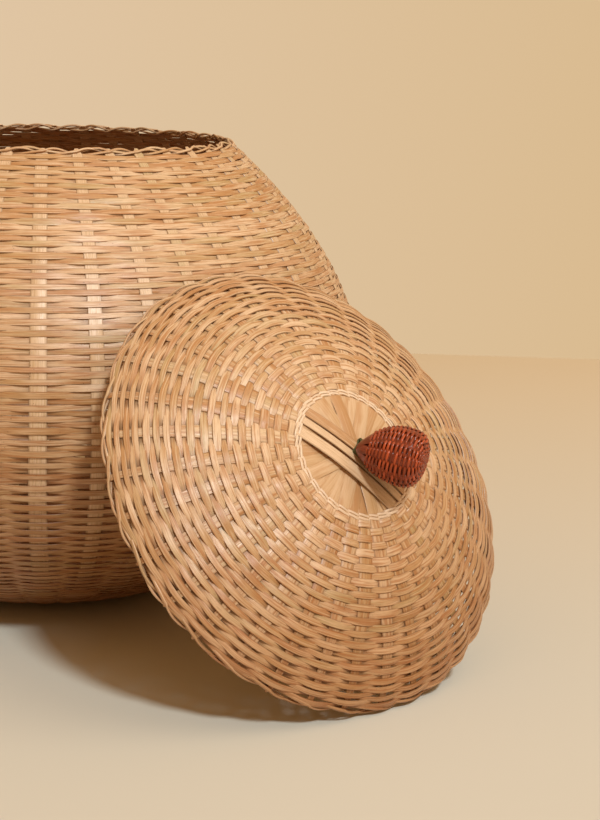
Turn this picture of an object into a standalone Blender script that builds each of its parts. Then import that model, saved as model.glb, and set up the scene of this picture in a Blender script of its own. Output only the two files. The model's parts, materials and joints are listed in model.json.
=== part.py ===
"""Buriti palm basket: a round woven body, its domed lid leaning on it and the lid's red knob.

Run it with blender --background --python part.py, or from the text editor.
Metres, +Z up. The origin is on the floor under the middle of the body, and the lid leans
towards -Y. Stakes are the upright splints, and courses are the rows woven round them.
"""
import math
from collections import namedtuple

import bmesh
import bpy
from mathutils import Matrix, Vector

# Clearance between pieces that touch on the real basket
GAP = 0.0003

# Body, from the floor and from its upright axis
BELLY_RADIUS = 0.200
BELLY_HEIGHT = 0.129
MOUTH_RADIUS = 0.115
MOUTH_HEIGHT = 0.279
FOOT_RADIUS = 0.070
BODY_WALL = 0.0024
BODY_RELIEF = 0.0012
BODY_STAKES = 38
BODY_COURSES = 17
BODY_LINING_BANDS = 8
LOWER_SWELL_SHARE = 2 / 3
UPPER_DRAW_SHARE = 2.03

# Lid, from the plane of its rim and from its own axis
LID_RADIUS = 0.1277
LID_HEIGHT = 0.0425
LID_WALL = 0.0022
LID_RELIEF = 0.0011
LID_STAKES = 34
LID_COURSES = 9
LID_LINING_BANDS = 4
DOME_SHARE = 0.77

# How the lid leans on the belly: clearance there, and the tilt of its axis from upright
LEAN_GAP = 0.0005
LEAN_ANGLE = math.radians(55.5)

# Splints
STAKE_WIDTH = 0.0088
STAKE_NECK_WIDTH = 0.0052
STAKE_RIM_SHARE = 0.33
STAKE_TAPER_SHARE = 3
STAKE_THICKNESS = 0.0008
STAKE_TIP = 0.0042

# Crossed start in the middle of the bottom and of the lid, and the twining that ties it
CROSS_RADIUS = 0.0338
CROSS_WEDGES = 17
CROSS_STEP = 0.0006
CROSS_CROWN = 0.0006
CROSS_EDGE_ANGLE = math.radians(1.5)
TWINE_RADIUS = 0.00045
TWINE_SWING = 0.0010
TWINE_RISE = 0.00065
TWINE_TURNS = 7

# Border strands round the mouth and round the lid's rim
STRAND_RADIUS = 0.0007
STRAND_SWING = 0.0018
STRAND_RISE = 0.0012
SCALLOP = 0.0015

# Three straps across the lid's middle: widths and places to the side of its centre
STRAP_THICKNESS = 0.0009
STRAP_ANGLE = math.radians(48)
STRAP_UPPER_WIDTH = 0.0068
STRAP_MIDDLE_WIDTH = 0.0056
STRAP_LOWER_WIDTH = 0.0075
STRAP_SLIT = 0.0008
STRAP_UPPER_PLACE = 0.0012
STRAP_BOW = 0.0030
STRAP_STATIONS = 8

# Thread that ties the knob to the upper strap
THREAD_RADIUS = 0.00045
THREAD_LOOP_HEIGHT = 0.0028
THREAD_PLACE = -0.0040
THREAD_PEAK_SHARE = 0.25

# Knob, along its own axis from the thread
KNOB_LENGTH = 0.0385
KNOB_RADIUS = 0.0156
KNOB_WIDEST = 0.0268
KNOB_NECK_SHARE = 0.76
KNOB_END_SHARE = 3.3
KNOB_CAP_SHARE = 0.7
KNOB_WALL = 0.0012
KNOB_RELIEF = 0.0005
KNOB_RIBS = 10
KNOB_COURSES = 9
KNOB_STEPS = 2
KNOB_LINING_BANDS = 5
KNOB_COVER_START = 0.0085
KNOB_COVER_END = 0.0370
KNOB_NECK_START = 0.0011
KNOB_NECK_RADIUS = 0.0020
RIB_WIDTH = 0.0019
RIB_THICKNESS = 0.0007
KNOB_LEAN = math.radians(53)
KNOB_TURN = math.radians(-54)

# Colours, linear RGB, and roughness
STRAW = (0.72, 0.50, 0.27)
PALE_STRAW = (0.84, 0.68, 0.46)
TAN_SPLINT = (0.66, 0.40, 0.18)
RAFFIA = (0.90, 0.80, 0.62)
RED_BROWN = (0.33, 0.07, 0.03)
DARK_RED = (0.20, 0.04, 0.02)
GREEN = (0.16, 0.17, 0.06)
DULL = 0.72
SATIN = 0.55
GLOSSY = 0.28

# Points along a smooth outline, and how far a mitred corner may stretch
OUTLINE_STEPS = 48
MITRE_SHARE = 0.5

# Depth of the grooves between the courses of a wall, against how far the courses swell
GROOVE_SHARE = 0.8

# Edges sharper than these stay crisp: on plain round pieces, and on the swells of a weave
CREASE = math.radians(50)
WEAVE_CREASE = math.radians(12)

# A woven wall: its outer and inner outlines, its number of stakes, and 1 where the inside lies
# to the left of the way the outlines run, or -1 where it lies to the right
Shell = namedtuple("Shell", "outer inner stakes inside")


def clear_scene():
    for item in list(bpy.data.objects):
        bpy.data.objects.remove(item, do_unlink=True)


def make_material(name, colour, roughness):
    material = bpy.data.materials.new(name)
    material.use_nodes = True
    shader = material.node_tree.nodes["Principled BSDF"]
    shader.inputs["Base Color"].default_value = (*colour, 1)
    shader.inputs["Roughness"].default_value = roughness
    shader.inputs["Metallic"].default_value = 0
    return material


def place_object(name, data, material, parent):
    item = bpy.data.objects.new(name, data)
    bpy.context.scene.collection.objects.link(item)
    data.materials.append(material)
    item.parent = parent
    return item


def finish_mesh(name, bm, material, parent=None, crease=CREASE):
    """Close a bmesh into a named object with outward faces and smooth round sides."""
    bmesh.ops.recalc_face_normals(bm, faces=bm.faces)
    mesh = bpy.data.meshes.new(name)
    bm.to_mesh(mesh)
    bm.free()
    mesh.shade_smooth()
    mesh.set_sharp_from_angle(angle=crease)
    return place_object(name, mesh, material, parent)


def make_empty(name, matrix, parent=None):
    empty = bpy.data.objects.new(name, None)
    bpy.context.scene.collection.objects.link(empty)
    empty.empty_display_size = KNOB_LENGTH
    empty.parent = parent
    empty.matrix_local = matrix
    return empty


# Outlines are lists of (radius, height) points that run from the middle to the rim

def resample(outline, bands):
    """Share an outline into bands of equal length along it."""
    steps = [math.dist(a, b) for a, b in zip(outline, outline[1:])]
    total = sum(steps)
    points = [outline[0]]
    walked = 0
    index = 0
    for band in range(1, bands):
        target = total * band / bands
        while walked + steps[index] < target:
            walked += steps[index]
            index += 1
        share = (target - walked) / steps[index]
        start, end = outline[index], outline[index + 1]
        points.append((start[0] + share * (end[0] - start[0]), start[1] + share * (end[1] - start[1])))
    points.append(outline[-1])
    return points


def directions(outline):
    """Unit direction along the outline at each point, and how far a mitred offset stretches."""
    spans = []
    for start, end in zip(outline, outline[1:]):
        length = math.dist(start, end)
        spans.append(Vector(((end[0] - start[0]) / length, (end[1] - start[1]) / length)))
    result = [(spans[0], 1.0)]
    for before, after in zip(spans, spans[1:]):
        middle = (before + after).normalized()
        result.append((middle, 1 / max(middle.dot(after), MITRE_SHARE)))
    result.append((spans[-1], 1.0))
    return result


def offset(outline, distance):
    """Parallel outline to the left of the way it runs."""
    moved = []
    for (radius, height), (way, stretch) in zip(outline, directions(outline)):
        moved.append((radius - way.y * distance * stretch, height + way.x * distance * stretch))
    return moved


def on_circle(radius, height, angle):
    return Vector((radius * math.cos(angle), radius * math.sin(angle), height))


def body_radius(height):
    """Full and round below the belly, and drawn in to the mouth above it."""
    if height <= BELLY_HEIGHT:
        rise = 1 - (1 - height / BELLY_HEIGHT) ** 2
        return FOOT_RADIUS + (BELLY_RADIUS - FOOT_RADIUS) * rise ** LOWER_SWELL_SHARE
    rise = min((height - BELLY_HEIGHT) / (MOUTH_HEIGHT - BELLY_HEIGHT), 1)
    return BELLY_RADIUS - (BELLY_RADIUS - MOUTH_RADIUS) * rise ** UPPER_DRAW_SHARE


def body_outline():
    """Flat foot, then the wall up to the mouth, with its points closer near the foot."""
    turns = [math.pi / 2 * step / OUTLINE_STEPS for step in range(OUTLINE_STEPS)]
    heights = [BELLY_HEIGHT * (1 - math.cos(turn)) for turn in turns]
    upper = MOUTH_HEIGHT - BELLY_HEIGHT
    heights.extend(BELLY_HEIGHT + upper * step / OUTLINE_STEPS for step in range(OUTLINE_STEPS + 1))
    return [(weave_start(), 0)] + [(body_radius(height), height) for height in heights]


def dome_height(radius):
    return LID_HEIGHT * (1 - min(radius / LID_RADIUS, 1) ** 2) ** DOME_SHARE


def lid_outline():
    """Dome from the twining down to the rim, which turns almost upright."""
    start_turn = math.asin(weave_start() / LID_RADIUS)
    outline = []
    for step in range(OUTLINE_STEPS + 1):
        turn = start_turn + (math.pi / 2 - start_turn) * step / OUTLINE_STEPS
        radius = LID_RADIUS * math.sin(turn)
        outline.append((radius, dome_height(radius)))
    return outline


def twine_band():
    """Width of the slot that the twining lies in."""
    return 2 * (TWINE_SWING + TWINE_RADIUS + GAP)


def weave_start():
    return CROSS_RADIUS + twine_band()


def make_shell(outline, wall, stakes, courses, lining_bands, inside=1):
    outer = resample(outline, 2 * courses)
    inner = offset(resample(outline, lining_bands), inside * wall)
    return Shell(outer, inner, stakes, inside)


def woven_wall(name, shell, relief, material, parent=None, steps=1):
    """Closed wall of courses: each swells over one stake and dips at the next, with a groove
    between it and the courses beside it.

    The outlines run from the middle to the rim, and the inner face has flats behind the
    stakes, where they lie. Steps is the number of points from one stake to the next.
    """
    bm = bmesh.new()
    spacing = 2 * math.pi / shell.stakes
    last = len(shell.outer) - 1
    outer_rings = []
    for row, ((radius, height), (way, _)) in enumerate(zip(shell.outer, directions(shell.outer))):
        ring = []
        for step in range(steps * shell.stakes):
            if row in (0, last) or height < relief:
                swell = 0
            elif row % 2 == 0:
                swell = -relief * GROOVE_SHARE
            else:
                swell = relief * math.cos(math.pi * (step / steps + row // 2))
            swell *= shell.inside
            angle = step * spacing / steps
            ring.append(bm.verts.new(on_circle(radius + way.y * swell, height - way.x * swell, angle)))
        outer_rings.append(ring)
    inner_rings = []
    for radius, height in shell.inner:
        angles = [(stake + 0.5) * spacing for stake in range(shell.stakes)]
        inner_rings.append([bm.verts.new(on_circle(radius, height, angle)) for angle in angles])
    for rings in (outer_rings, inner_rings):
        for near, far in zip(rings, rings[1:]):
            for i in range(len(near)):
                bm.faces.new((near[i - 1], near[i], far[i], far[i - 1]))
    for rim, lining in ((outer_rings[-1], inner_rings[-1]), (outer_rings[0], inner_rings[0])):
        for i in range(shell.stakes):
            bm.faces.new((rim[steps * i], lining[i], lining[i - 1]))
            for j in range(steps * i, steps * (i + 1)):
                bm.faces.new((rim[j], rim[(j + 1) % len(rim)], lining[i]))
    return finish_mesh(name, bm, material, parent, WEAVE_CREASE)


def stake_outline(shell):
    """Face of the stakes that lies on the flats of a wall's lining, with their tips."""
    flat_share = math.cos(math.pi / shell.stakes)
    flats = [(radius * flat_share, height) for radius, height in shell.inner]
    path = offset(flats, shell.inside * GAP)
    way = directions(path)[-1][0]
    radius, height = path[-1]
    path.append((radius + way.x * STAKE_TIP, height + way.y * STAKE_TIP))
    return path


def fanned_cage(name, path, widths, count, thickness, material, parent=None):
    """Strips that fan out from a disc in the middle and follow a path, as one thin body.

    The path runs on the side of the strips that faces out, and they thicken inwards.
    """
    bm = bmesh.new()
    disc = []
    for strip in range(count):
        angle = 2 * math.pi * strip / count
        side = Vector((-math.sin(angle), math.cos(angle), 0))
        pairs = []
        for (radius, height), width in zip(path, widths):
            centre = on_circle(radius, height, angle)
            pairs.append([bm.verts.new(centre + side * width / 2 * edge) for edge in (-1, 1)])
        disc.extend(pairs[0])
        for near, far in zip(pairs, pairs[1:]):
            bm.faces.new((near[0], near[1], far[1], far[0]))
    hub = bm.faces.new(disc)
    bmesh.ops.recalc_face_normals(bm, faces=bm.faces)
    if hub.normal.z * (path[-1][1] - path[0][1]) > 0:
        bmesh.ops.reverse_faces(bm, faces=bm.faces)
    mesh = bpy.data.meshes.new(name)
    bm.to_mesh(mesh)
    bm.free()
    cage = place_object(name, mesh, material, parent)
    solidify = cage.modifiers.new("Thickness", "SOLIDIFY")
    solidify.thickness = thickness
    solidify.offset = -1
    return cage


def stake_cage(name, shell, material, parent=None):
    """Stakes that cross in the middle and run up the wall, widening as far as their full width."""
    path = stake_outline(shell)
    hub_radius = path[0][0]
    rim_width = min(STAKE_WIDTH, STAKE_RIM_SHARE * 2 * math.pi * path[-1][0] / shell.stakes)
    widths = []
    for row, (radius, _) in enumerate(path):
        fanned = STAKE_NECK_WIDTH * radius / hub_radius
        share = row / (len(path) - 1)
        widths.append(min(fanned, STAKE_WIDTH + (rim_width - STAKE_WIDTH) * share ** STAKE_TAPER_SHARE))
    return fanned_cage(name, path, widths, shell.stakes, STAKE_THICKNESS, material, parent)


def closed_tube(name, points, radius, material, parent=None):
    curve = bpy.data.curves.new(name, "CURVE")
    curve.dimensions = "3D"
    curve.bevel_depth = radius
    curve.bevel_resolution = 0
    spline = curve.splines.new("POLY")
    spline.points.add(len(points) - 1)
    for target, point in zip(spline.points, points):
        target.co = (*point, 1)
    spline.use_cyclic_u = True
    return place_object(name, curve, material, parent)


def border_place(shell, across, along):
    """Radius and height of a point in a border, across its stakes and on past the rim."""
    path = stake_outline(shell)
    rim = Vector(path[-2])
    way = (Vector(path[-1]) - rim).normalized()
    inward = Vector((-way.y, way.x)) * shell.inside
    return rim + way * (STRAND_RADIUS + GAP + along) + inward * (STAKE_THICKNESS / 2 + across)


def border_strands(prefix, shell, material, parent=None):
    """Two strands twisted round the stake tips, with a scallop between each two stakes."""
    for letter, sense in (("a", 1), ("b", -1)):
        points = []
        for half in range(2 * shell.stakes):
            twist = math.pi * half / 2
            across = sense * STRAND_SWING * math.cos(twist)
            along = sense * STRAND_RISE * math.sin(twist) + SCALLOP * (half % 2)
            place = border_place(shell, across, along)
            points.append(on_circle(place.x, place.y, math.pi * half / shell.stakes))
        closed_tube(prefix + "_" + letter, points, STRAND_RADIUS, material, parent)


def twining(prefix, height, material, parent=None):
    """Two raffia strands twisted round each other in the slot round the crossed start."""
    centre_radius = CROSS_RADIUS + twine_band() / 2
    count = 4 * TWINE_TURNS
    for letter, sense in (("a", 1), ("b", -1)):
        points = []
        for step in range(count):
            twist = math.pi * step / 2
            radius = centre_radius + sense * TWINE_SWING * math.cos(twist)
            rise = sense * TWINE_RISE * math.sin(twist)
            points.append(on_circle(radius, height + rise, 2 * math.pi * step / count))
        closed_tube(prefix + "_" + letter, points, TWINE_RADIUS, material, parent)


def base_cross(material):
    """Crossed splints of the bottom, pressed flat where the basket stands."""
    bm = bmesh.new()
    circle = bmesh.ops.create_circle(bm, cap_ends=True, radius=CROSS_RADIUS, segments=BODY_STAKES)
    lifted = bmesh.ops.extrude_face_region(bm, geom=list({f for v in circle["verts"] for f in v.link_faces}))
    top = [item for item in lifted["geom"] if isinstance(item, bmesh.types.BMVert)]
    bmesh.ops.translate(bm, verts=top, vec=(0, 0, BODY_WALL))
    return finish_mesh("base_cross", bm, material)


def lid_cross(shell, material, parent):
    """Crossed splints of the lid's middle: wedges that overlap like the blades of a fan."""
    bm = bmesh.new()
    edge_height = dome_height(CROSS_RADIUS)
    under = stake_outline(shell)[0][1] + GAP
    crown = bm.verts.new((0, 0, edge_height + CROSS_STEP + CROSS_CROWN))
    lows, highs, bottoms = [], [], []
    for wedge in range(CROSS_WEDGES):
        angle = 2 * math.pi * wedge / CROSS_WEDGES
        lows.append(bm.verts.new(on_circle(CROSS_RADIUS, edge_height, angle)))
        highs.append(bm.verts.new(on_circle(CROSS_RADIUS, edge_height + CROSS_STEP, angle + CROSS_EDGE_ANGLE)))
        bottoms.append(bm.verts.new(on_circle(CROSS_RADIUS, under, angle)))
    for wedge in range(CROSS_WEDGES):
        after = (wedge + 1) % CROSS_WEDGES
        bm.faces.new((crown, lows[wedge], highs[wedge]))
        bm.faces.new((crown, highs[wedge], lows[after]))
        bm.faces.new((bottoms[wedge], bottoms[after], lows[after], highs[wedge], lows[wedge]))
    bm.faces.new(bottoms)
    return finish_mesh("lid_cross", bm, material, parent)


def strap_seat():
    """Height of the straps' undersides at their ends, just clear of the wedges' raised edges."""
    return dome_height(CROSS_RADIUS) + CROSS_STEP + GAP


def strap(name, place, width, material, parent):
    """Flat strip across the lid's middle, bowed up off it, with its ends at the twining."""
    bm = bmesh.new()
    far_edge = abs(place) + width / 2
    reach = math.sqrt((CROSS_RADIUS - GAP) ** 2 - far_edge ** 2)
    sections = []
    for station in range(STRAP_STATIONS + 1):
        share = 2 * station / STRAP_STATIONS - 1
        bottom = strap_seat() + STRAP_BOW * (1 - share ** 2)
        top = bottom + STRAP_THICKNESS
        corners = ((-width, bottom), (width, bottom), (width, top), (-width, top))
        ring = [bm.verts.new((share * reach, place + side / 2, height)) for side, height in corners]
        sections.append(ring)
    for near, far in zip(sections, sections[1:]):
        for i in range(4):
            j = (i + 1) % 4
            bm.faces.new((near[i], near[j], far[j], far[i]))
    bm.faces.new(sections[0])
    bm.faces.new(sections[-1])
    bmesh.ops.rotate(bm, verts=bm.verts, matrix=Matrix.Rotation(-STRAP_ANGLE, 3, "Z"))
    return finish_mesh(name, bm, material, parent)


def strap_places():
    """Sideways places of the three straps. The thread passes between the upper two."""
    upper = STRAP_UPPER_PLACE
    thread_slit = 2 * (THREAD_RADIUS + GAP)
    middle = upper - STRAP_UPPER_WIDTH / 2 - thread_slit - STRAP_MIDDLE_WIDTH / 2
    lower = middle - STRAP_MIDDLE_WIDTH / 2 - STRAP_SLIT - STRAP_LOWER_WIDTH / 2
    return upper, middle, lower


def knob_seat():
    """Point on the lid that the knob turns about: the top of the thread's loop."""
    top = strap_seat() + STRAP_BOW + STRAP_THICKNESS + THREAD_LOOP_HEIGHT
    flat = Matrix.Rotation(-STRAP_ANGLE, 3, "Z") @ Vector((THREAD_PLACE, STRAP_UPPER_PLACE, 0))
    return Vector((flat.x, flat.y, top))


def thread_tie(material, parent):
    """Loop of thread round the upper strap, drawn up to a peak where the knob hangs."""
    half = STRAP_UPPER_WIDTH / 2 + GAP + THREAD_RADIUS
    under = strap_seat() + STRAP_BOW - GAP - THREAD_RADIUS
    over = strap_seat() + STRAP_BOW + STRAP_THICKNESS + GAP + THREAD_RADIUS
    peak = knob_seat().z
    top = half * THREAD_PEAK_SHARE
    outline = ((-half, under), (half, under), (half, over), (top, peak), (-top, peak), (-half, over))
    turn = Matrix.Rotation(-STRAP_ANGLE, 3, "Z")
    points = [turn @ Vector((THREAD_PLACE, STRAP_UPPER_PLACE + side, height)) for side, height in outline]
    return closed_tube("thread_tie", points, THREAD_RADIUS, material, parent)


def knob_radius(along):
    """Pear shape: a straight-sided cone that swells, then a blunt round end."""
    if along <= KNOB_WIDEST:
        share = along / KNOB_WIDEST
        return KNOB_RADIUS * math.sin(math.pi / 2 * share ** KNOB_NECK_SHARE)
    share = (along - KNOB_WIDEST) / (KNOB_LENGTH - KNOB_WIDEST)
    return KNOB_RADIUS * math.sqrt(max(1 - share ** KNOB_END_SHARE, 0))


def knob_outline(start, end):
    outline = []
    for step in range(OUTLINE_STEPS + 1):
        along = start + (end - start) * step / OUTLINE_STEPS
        outline.append((knob_radius(along), along))
    return outline


def knob_shell():
    outline = knob_outline(KNOB_COVER_START, KNOB_COVER_END)
    return make_shell(outline, KNOB_WALL, KNOB_RIBS, KNOB_COURSES, KNOB_LINING_BANDS)


def knob_ribs(shell, material, parent):
    """Ribs from the neck to the far end, bare near the neck and under the courses beyond."""
    path = [(KNOB_NECK_RADIUS, KNOB_NECK_START)] + stake_outline(shell)[:-1]
    widths = [min(RIB_WIDTH, 2 * radius * math.tan(math.pi / KNOB_RIBS) - GAP) for radius, _ in path]
    return fanned_cage("knob_ribs", path, widths, KNOB_RIBS, RIB_THICKNESS, material, parent)


def knob_end_cap(material, parent):
    """Small woven disc that closes the knob's far end."""
    bm = bmesh.new()
    edge = knob_radius(KNOB_COVER_END) - KNOB_WALL / 2
    under = KNOB_COVER_END + GAP
    profile = ((0, under), (edge, under), (edge * KNOB_CAP_SHARE, KNOB_LENGTH), (0, KNOB_LENGTH))
    verts = [bm.verts.new((radius, 0, along)) for radius, along in profile]
    edges = [bm.edges.new(pair) for pair in zip(verts, verts[1:])]
    bmesh.ops.spin(bm, geom=verts + edges, cent=(0, 0, 0), axis=(0, 0, 1), angle=2 * math.pi,
                   steps=2 * KNOB_RIBS, use_merge=True)
    bmesh.ops.remove_doubles(bm, verts=bm.verts, dist=GAP / 10)
    return finish_mesh("knob_end_cap", bm, material, parent)


def body_girth(height, angle):
    """Greatest radius of the body's wall, which runs flat from stake to stake between its swells."""
    half = math.pi / BODY_STAKES
    off = angle % (2 * half) - half
    swells = (-BODY_RELIEF * GROOVE_SHARE, BODY_RELIEF * abs(off) / half)
    rows = [(rise, radius + swells[row % 2]) for row, (radius, rise) in enumerate(body_shell().outer)]
    for (low, near), (high, far) in zip(rows, rows[1:]):
        if low <= height <= high:
            share = (height - low) / max(high - low, GAP)
            return (near + (far - near) * share) * math.cos(half) / math.cos(off)
    return 0


def lid_matrix(shell):
    """The lid's own frame: +Z along its axis, +X level, +Y up the slope that it leans at.

    The lowest scallop of its border rests on the floor, and its rim leans on the belly.
    """
    axis = Vector((0, -math.sin(LEAN_ANGLE), math.cos(LEAN_ANGLE)))
    level = Vector((1, 0, 0))
    up_slope = axis.cross(level)
    scallop = border_place(shell, 0, STRAND_RISE + SCALLOP)
    tip = stake_outline(shell)[-1]
    rotation = Matrix((level, up_slope, axis)).transposed()
    centre = Vector((0, 0, STRAND_RADIUS + scallop.x * up_slope.z - scallop.y * axis.z))
    reach = 0
    for radius, height in (scallop, tip):
        for step in range(shell.stakes):
            place = centre + rotation @ on_circle(radius, height, math.pi * step / shell.stakes)
            round_radius = body_radius(place.z)
            if abs(place.x) < round_radius:
                girth = body_girth(place.z, math.acos(place.x / round_radius)) + STRAND_RADIUS + LEAN_GAP
                reach = max(reach, place.y + math.sqrt(girth ** 2 - place.x ** 2))
    centre.y = -reach
    return Matrix.Translation(centre) @ rotation.to_4x4()


def knob_matrix():
    """Knob's frame in the lid's: its axis leans off the lid's, between down the slope and level."""
    tilt = Matrix.Rotation(KNOB_LEAN, 4, Vector((-math.sin(KNOB_TURN), math.cos(KNOB_TURN), 0)))
    return Matrix.Translation(knob_seat()) @ tilt


def body_shell():
    return make_shell(body_outline(), BODY_WALL, BODY_STAKES, BODY_COURSES, BODY_LINING_BANDS)


def build_body(straw, pale, tan, raffia):
    shell = body_shell()
    base_cross(tan)
    twining("base_twining", BODY_WALL / 2, raffia)
    woven_wall("body_weave", shell, BODY_RELIEF, straw)
    stake_cage("body_stakes", shell, pale)
    border_strands("mouth_border", shell, straw)


def lid_shell():
    return make_shell(lid_outline(), LID_WALL, LID_STAKES, LID_COURSES, LID_LINING_BANDS, inside=-1)


def build_lid(lid, shell, straw, pale, tan, raffia, green):
    lid_cross(shell, tan, lid)
    twining("lid_twining", dome_height(CROSS_RADIUS), raffia, lid)
    woven_wall("lid_weave", shell, LID_RELIEF, straw, lid)
    stake_cage("lid_stakes", shell, pale, lid)
    border_strands("lid_border", shell, straw, lid)
    upper, middle, lower = strap_places()
    strap("strap_upper", upper, STRAP_UPPER_WIDTH, tan, lid)
    strap("strap_middle", middle, STRAP_MIDDLE_WIDTH, pale, lid)
    strap("strap_lower", lower, STRAP_LOWER_WIDTH, pale, lid)
    thread_tie(green, lid)


def build_knob(knob, red, dark_red):
    shell = knob_shell()
    woven_wall("knob_weave", shell, KNOB_RELIEF, red, knob, KNOB_STEPS)
    knob_ribs(shell, dark_red, knob)
    knob_end_cap(red, knob)


def main():
    clear_scene()
    straw = make_material("straw", STRAW, SATIN)
    pale = make_material("pale_straw", PALE_STRAW, SATIN)
    tan = make_material("tan_splint", TAN_SPLINT, SATIN)
    raffia = make_material("raffia", RAFFIA, DULL)
    green = make_material("green_thread", GREEN, DULL)
    red = make_material("red_cane", RED_BROWN, GLOSSY)
    dark_red = make_material("dark_red_cane", DARK_RED, GLOSSY)
    build_body(straw, pale, tan, raffia)
    shell = lid_shell()
    lid = make_empty("lid_lift", lid_matrix(shell))
    build_lid(lid, shell, straw, pale, tan, raffia, green)
    knob = make_empty("knob_tilt", knob_matrix(), lid)
    build_knob(knob, red, dark_red)


main()
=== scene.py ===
"""Buriti palm basket with its domed lid leaning on it, woven splint by splint.

Stakes are the splints that run from the middle of a piece to its rim. Courses are the rows woven
round them, over one stake and under the next. A wall is the surface halfway through the weave,
and every stake, course and border strand is laid on one by how far along its outline, how far
round its axis and how far out from it each point lies. Metres, +Z up.
"""

import json
import math

import bmesh
import bpy
import numpy as np
from bpy.props import FloatProperty, FloatVectorProperty, IntProperty, PointerProperty
from mathutils import Matrix, Vector


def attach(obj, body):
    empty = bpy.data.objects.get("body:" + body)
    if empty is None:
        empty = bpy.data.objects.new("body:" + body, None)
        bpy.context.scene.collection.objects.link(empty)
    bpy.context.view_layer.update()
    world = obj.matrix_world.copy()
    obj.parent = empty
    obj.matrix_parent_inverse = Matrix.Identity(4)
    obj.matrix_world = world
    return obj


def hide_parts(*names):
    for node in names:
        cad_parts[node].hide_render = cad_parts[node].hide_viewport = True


bl_info = {
    "name": "Buriti Palm Basket",
    "version": (1, 0, 0),
    "blender": (4, 5, 0),
    "location": "View3D > Sidebar > Basket",
    "description": "Weaves a round palm basket, its domed lid and the lid's red cane knob",
    "category": "Add Mesh",
}

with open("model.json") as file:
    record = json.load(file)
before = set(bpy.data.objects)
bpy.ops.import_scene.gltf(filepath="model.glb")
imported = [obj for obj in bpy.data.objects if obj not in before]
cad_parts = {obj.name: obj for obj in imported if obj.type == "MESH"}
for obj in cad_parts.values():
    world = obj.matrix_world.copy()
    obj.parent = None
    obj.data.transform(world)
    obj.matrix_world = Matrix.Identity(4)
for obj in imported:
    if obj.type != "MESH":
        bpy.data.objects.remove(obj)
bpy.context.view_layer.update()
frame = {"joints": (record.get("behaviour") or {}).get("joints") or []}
FULL_TURN = 2 * math.pi

# Plain rings and bars are made this thick, with this many sides, and a metre apart, before they
# are laid on a wall
BLANK_RADIUS = 0.25
SIDES = 8

# Steps from one stake to the next, in a course and in a finer border strand
COURSE_STEPS = 8
BORDER_STEPS = 12

# Squareness of a flat splint's section. Thin strands and cane are nearer to round, which is 1
FLAT = 0.25

# Edges of flat splints sharper than this stay crisp
CRISP = math.radians(42)

# A splint's own stretch of the weave map, longer than any splint, and where the map starts again
SPLINT_PAGE = 7.0
MAP_END = 13 * SPLINT_PAGE

# Most splints in one course, and how many of its splints have chances of their own
MOST_SPLINTS = 12
COURSE_CHANCES = 16

# The stakes' tips stand this far past the last course
STAKE_TIP = 0.0036

# Middle of the lid's rim, as it leans on the belly with its lowest edge on the floor
LID_PLACE = (0, -0.251433, 0.108924)

# Straps: name, node, slot, finish, width, and place to the side of the lid's middle
STRAPS = (("strap_top_splint", "strap_upper", "tan_splint", "warm strap", 0.0059, 0.0015),
          ("strap_middle_splint", "strap_middle", "pale_straw", "pale stakes", 0.0049, -0.0047),
          ("strap_low_splint", "strap_lower", "pale_straw", "pale stakes", 0.0075, -0.0121))
STRAP_TURN = math.radians(-49.6)
STRAP_BOW = 0.0034
STRAP_REACH = 1.09
STRAP_THICKNESS = 0.0008

# The knob's neck is drawn aside, along the straps and across them, over this share of its length
NECK_ASIDE = (0.001, -0.0034, 0)
NECK_SHARE = 0.6
NECK_START = 0.0011

# Green thread: its radius, its wraps and their spacing, and its places along the strap
THREAD_RADIUS = 0.00075
THREAD_WRAPS = 5
THREAD_PITCH = 0.00080
THREAD_PLACE = -0.0009
THREAD_KNOT = -0.0018

# Floor, from the basket: its half sizes, its back edge and its turn
FLOOR_HALF_SIZES = (3.5, 2.0, 1)
FLOOR_BACK = 0.838
FLOOR_TURN = math.radians(-43.04)

# Soft lights: width as a share of the distance, turn and rise in degrees, and colour
KEY_WIDTH, KEY_TURN, KEY_RISE, KEY_TINT = 0.14, -107, 46, (0.87, 0.97, 1.0)
SIDE_WIDTH, SIDE_TURN, SIDE_RISE, SIDE_TINT = 0.8, -55, 53, (1.0, 0.88, 0.72)
SIDE_DISTANCE = 4.0
FILL_TINT = (1.0, 0.54, 0.20)
LIT_PLACE = (0, -0.15, 0.10)

# Camera: place, turns in degrees, and focal length in pixels of a frame this high
CAMERA_PLACE = (-0.65879, -0.96921, 0.35648)
CAMERA_TURNS = (78.0032, -1.6141, -41.7922)
FRAME_HEIGHT = 820
FOCAL_PIXELS = 1838.2
SENSOR = 36


def length(name, size, note):
    return FloatProperty(name=name, description=note, default=size, unit="LENGTH", precision=4)


def share(name, size, note):
    return FloatProperty(name=name, description=note, default=size)


def turned(name, degrees, note):
    return FloatProperty(name=name, description=note, default=math.radians(degrees),
                         subtype="ANGLE")


def power(name, watts, note):
    return FloatProperty(name=name, description=note, default=watts, min=0, unit="POWER")


def whole(name, size, note):
    return IntProperty(name=name, description=note, default=size, min=4)


def colour(name, red, green, blue, note):
    return FloatVectorProperty(name=name, description=note, default=(red, green, blue),
                               subtype="COLOR", size=3, min=0, max=1)


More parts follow.
